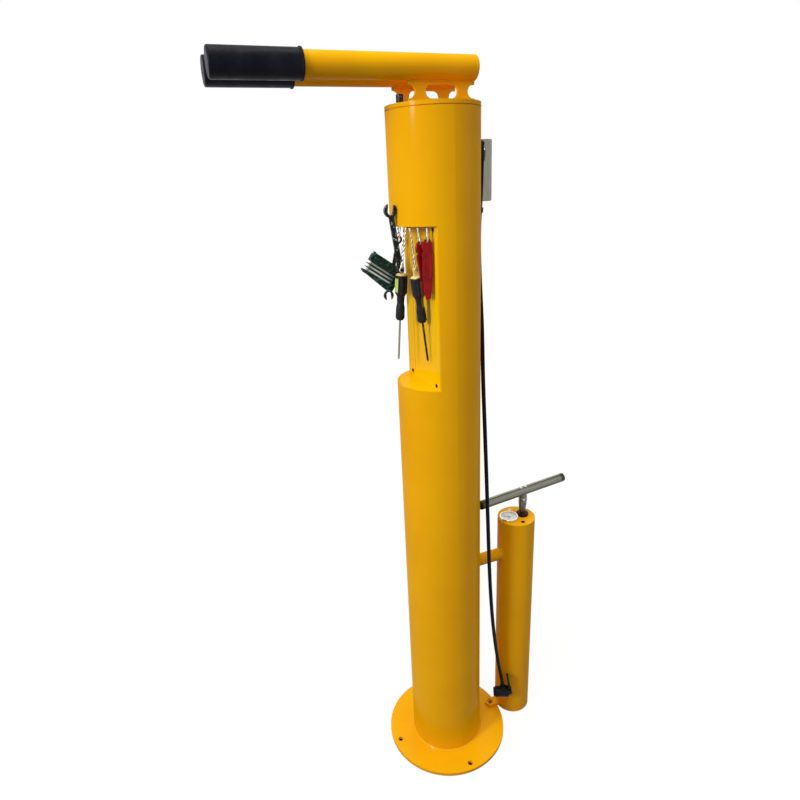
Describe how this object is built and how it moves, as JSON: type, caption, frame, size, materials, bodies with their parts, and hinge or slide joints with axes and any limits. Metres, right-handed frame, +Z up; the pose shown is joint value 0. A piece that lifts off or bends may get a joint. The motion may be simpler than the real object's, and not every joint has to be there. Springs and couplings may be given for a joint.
{
  "type": "bicycle repair station",
  "caption": "Floor-standing public cycle repair post with rubber-sleeved hanger arms, a tool window with tethered hand tools, and a hand pump with T-handle, gauge and hose.",
  "frame": {"origin": "centre of the flange's underside, on the post's axis", "axes": "+Z up the post; -Y towards the tool window and the hanger arms; +Y towards the pump"},
  "size_m": [0.289, 0.7063, 1.5202],
  "materials": {
    "yellow_coat": "gloss powder coat",
    "black_rubber": "matt",
    "stainless_steel": "brushed",
    "steel_cable": "stranded",
    "chrome_steel": "polished",
    "black_steel": "black finish",
    "black_plastic": "matt",
    "red_plastic": "gloss",
    "dark_grip": "matt",
    "green_plastic": "matt",
    "white_dial": "printed",
    "clear_glass": "clear",
    "air_tube": "matt",
    "zinc_steel": "zinc plated",
    "aluminium": "turned"
  },
  "bodies": {
    "station": {"air_line": "air_tube", "arm_bracket_left": "yellow_coat", "arm_bracket_right": "yellow_coat", "arm_sleeve_left": "black_rubber", "arm_sleeve_right": "black_rubber", "arm_tube_left": "yellow_coat", "arm_tube_right": "yellow_coat", "base_flange": "yellow_coat", "cable_guide_bar": "stainless_steel", "cap_lock_bolt": "black_steel", "cap_plate": "yellow_coat", "cover_screws": "zinc_steel", "gauge_case": "stainless_steel", "gauge_dial": "white_dial", "gauge_glass": "clear_glass", "hanger_plate": "stainless_steel", "hose": "black_rubber", "hose_clip": "black_rubber", "outlet_elbow": "black_steel", "post_tube": "yellow_coat", "pump_barrel": "stainless_steel", "pump_casing": "yellow_coat", "pump_head_body": "black_plastic", "pump_head_seal": "black_rubber", "pump_lug": "yellow_coat", "pump_top_plate": "yellow_coat", "rod_gland": "black_rubber", "strut_tube": "yellow_coat", "tether_grommets": "black_rubber", "tether_hex": "steel_cable", "tether_runs": "steel_cable", "tether_weights": "zinc_steel", "tether_wrench": "steel_cable", "window_insert": "yellow_coat"},
    "pump_handle": {"pump_rod": "stainless_steel", "piston": "aluminium", "piston_seal": "black_rubber", "handle_clevis": "zinc_steel", "clevis_bolts": "zinc_steel", "handle_bar": "stainless_steel", "handle_end_plugs": "black_plastic"},
    "gauge_pointer": {"gauge_needle": "black_plastic"},
    "head_lever": {"pump_head_lever": "black_plastic"},
    "hung_driver_left": {"tether_driver_left": "steel_cable", "driver_left_handle": "dark_grip", "driver_left_blade": "stainless_steel"},
    "hung_driver_right": {"tether_driver_right": "steel_cable", "driver_right_handle": "dark_grip", "driver_right_blade": "black_steel"},
    "hung_lever_left": {"tether_lever_left": "steel_cable", "tyre_lever_left": "red_plastic"},
    "hung_lever_right": {"tether_lever_right": "steel_cable", "tyre_lever_right": "red_plastic"},
    "hung_spanner": {"tether_spanner": "steel_cable", "chrome_spanner": "chrome_steel"},
    "wrench": {"black_wrench": "black_steel"},
    "hex_holder": {"hex_scales": "green_plastic"},
    "key_large": {"hex_key_3": "chrome_steel"},
    "key_medium": {"hex_key_2": "chrome_steel"},
    "key_small": {"hex_key_1": "chrome_steel"}
  },
  "joints": [
    {"name": "pump_stroke", "type": "slide", "parent": "station", "child": "pump_handle", "axis": [0, 0, 1], "range_m": [0, 0.38]},
    {"name": "gauge_turn", "type": "hinge", "parent": "station", "child": "gauge_pointer", "pos_m": [0, 0.1737, 0.5705], "axis": [0, 0, -1], "range_deg": [0, 270], "stiffness_Nm_per_rad": 0.0002},
    {"name": "head_lever_turn", "type": "hinge", "parent": "station", "child": "head_lever", "pos_m": [0.04715, 0.15642, 0.09], "axis": [-0.9073, 0.4206, 0], "range_deg": [0, 90]},
    {"name": "driver_left_swing", "type": "hinge", "parent": "station", "child": "hung_driver_left", "pos_m": [-0.012, -0.0597, 1.2435], "axis": [-1, 0, 0], "range_deg": [-6, 75]},
    {"name": "driver_right_swing", "type": "hinge", "parent": "station", "child": "hung_driver_right", "pos_m": [0.034, -0.066, 1.2435], "axis": [-1, 0, 0], "range_deg": [-0.8, 83]},
    {"name": "lever_left_swing", "type": "hinge", "parent": "station", "child": "hung_lever_left", "pos_m": [0.0489, -0.057, 1.2435], "axis": [-1, 0, 0], "range_deg": [0, 85]},
    {"name": "lever_right_swing", "type": "hinge", "parent": "station", "child": "hung_lever_right", "pos_m": [0.0602, -0.0444, 1.2435], "axis": [-1, 0, 0], "range_deg": [-2, 82]},
    {"name": "spanner_swing", "type": "hinge", "parent": "station", "child": "hung_spanner", "pos_m": [-0.055, -0.048, 1.2435], "axis": [-1, 0, 0], "range_deg": [-10, 68]},
    {"name": "wrench_swing", "type": "hinge", "parent": "station", "child": "wrench", "pos_m": [0.0175, -0.08025, 1.171], "axis": [1, 0, 0], "range_deg": [0, 150]},
    {"name": "hex_holder_swing", "type": "hinge", "parent": "station", "child": "hex_holder", "pos_m": [-0.0375, -0.06413, 1.15495], "axis": [1, 0, 0], "range_deg": [-30, 70]},
    {"name": "key_large_fold", "type": "hinge", "parent": "hex_holder", "child": "key_large", "pos_m": [-0.0375, -0.1246, 1.17739], "axis": [0, 0.5736, 0.8192], "range_deg": [0, 180]},
    {"name": "key_medium_fold", "type": "hinge", "parent": "hex_holder", "child": "key_medium", "pos_m": [-0.0375, -0.1246, 1.17739], "axis": [0, 0.5736, 0.8192], "range_deg": [0, 180]},
    {"name": "key_small_fold", "type": "hinge", "parent": "hex_holder", "child": "key_small", "pos_m": [-0.0375, -0.1246, 1.17739], "axis": [0, 0.5736, 0.8192], "range_deg": [0, 180]}
  ]
}
